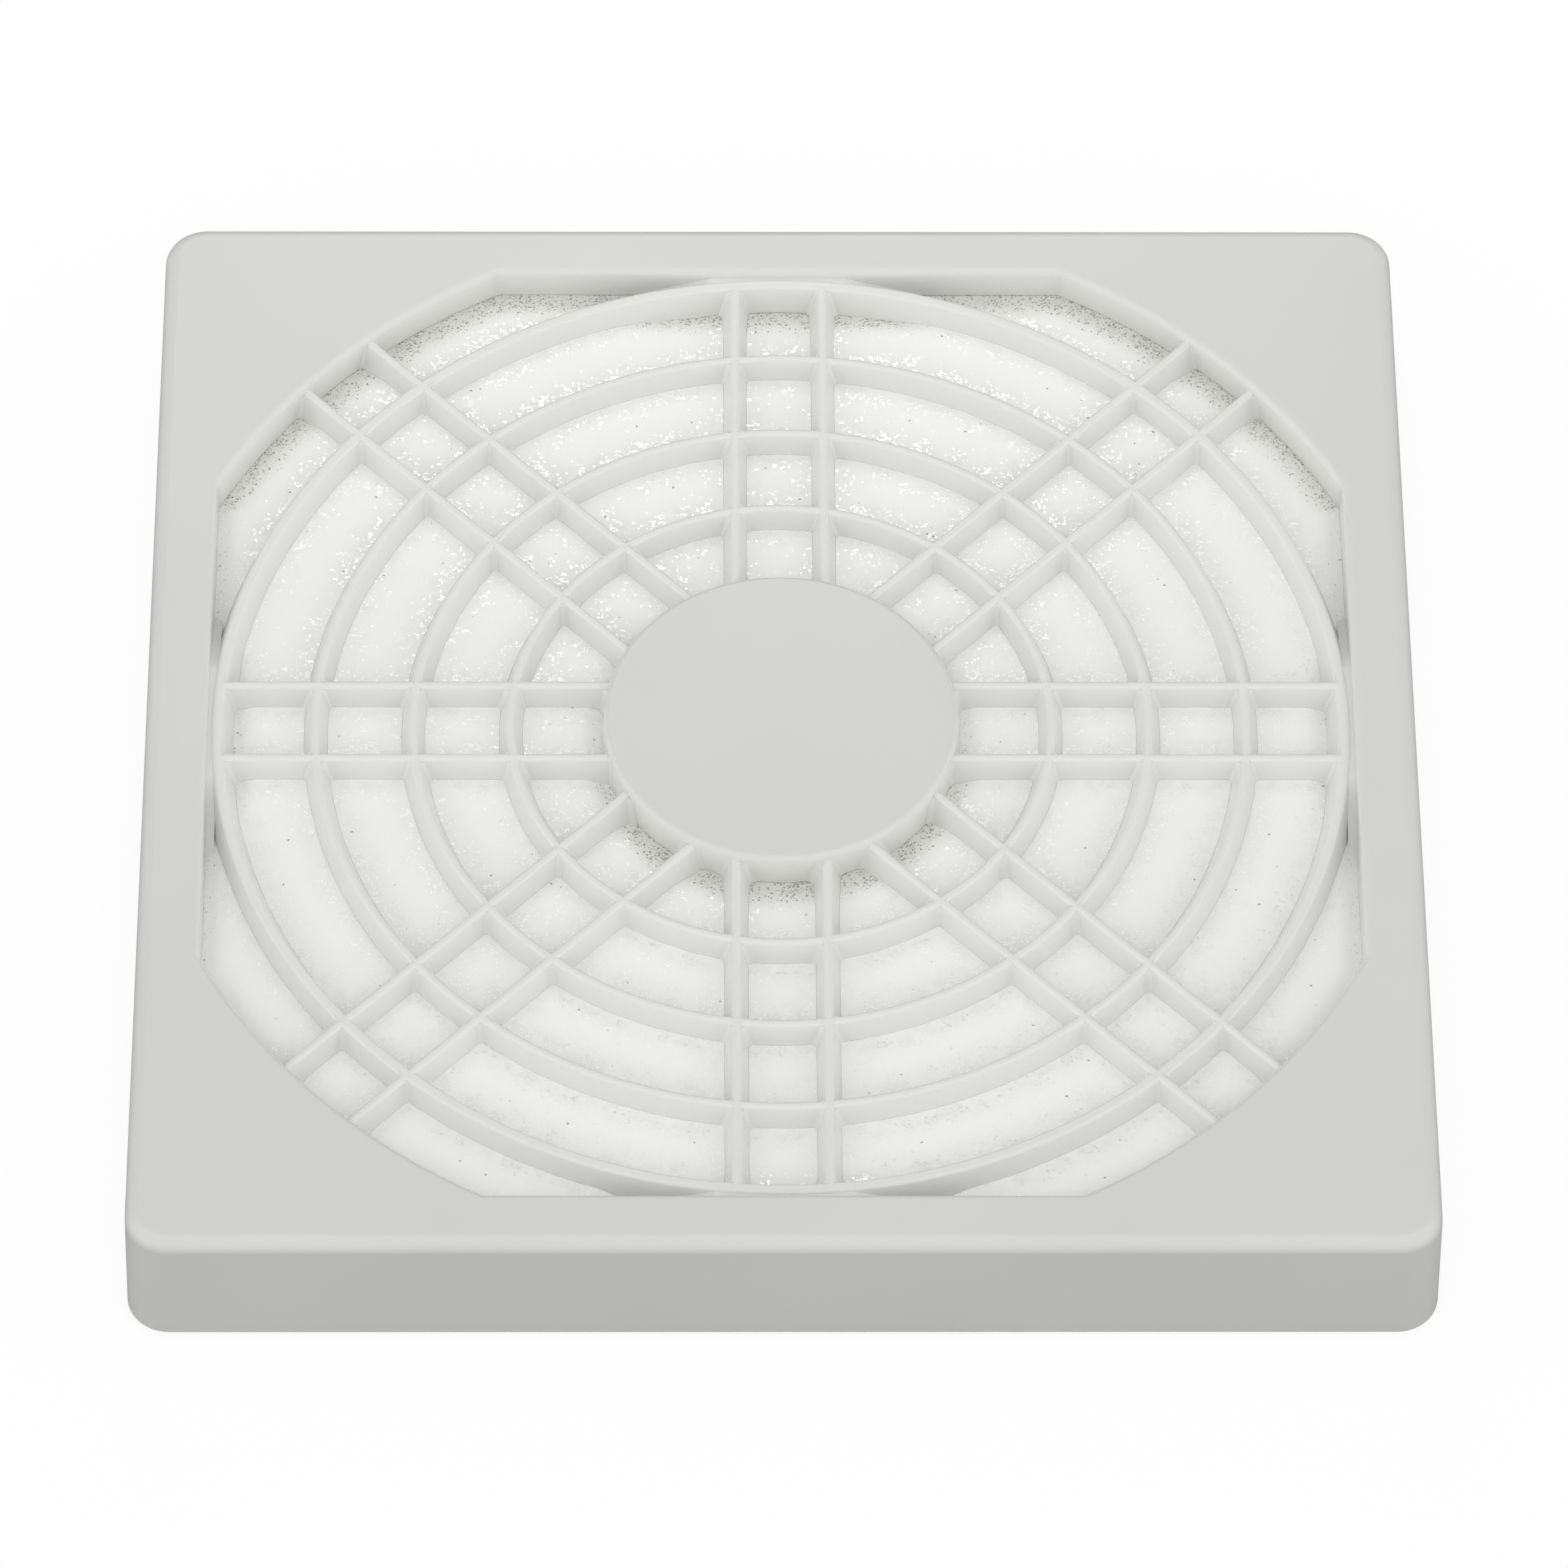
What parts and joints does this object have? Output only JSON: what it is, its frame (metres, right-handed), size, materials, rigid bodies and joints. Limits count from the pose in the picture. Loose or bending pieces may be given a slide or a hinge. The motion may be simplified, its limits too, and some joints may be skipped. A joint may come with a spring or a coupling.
{
  "type": "fan grille",
  "caption": "Square fan filter guard: a cover with a grille of rings and paired spokes round a plain hub clips over a foam pad and a flat base guard with screw holes.",
  "frame": {"origin": "centre of the back face, on the fan's axis, at the bottom of the bounding box", "axes": "+Z out of the grille, along the fan's axis; X and Y along the square's sides"},
  "size_m": [0.085, 0.085, 0.01],
  "materials": {
    "cover_plastic": "satin light grey moulding",
    "base_plastic": "satin light grey moulding",
    "filter_foam": "white open-cell foam with fine pores"
  },
  "bodies": {
    "root": {"outer_cover": "cover_plastic", "base_guard": "base_plastic", "foam_pad": "filter_foam"}
  },
  "joints": []
}
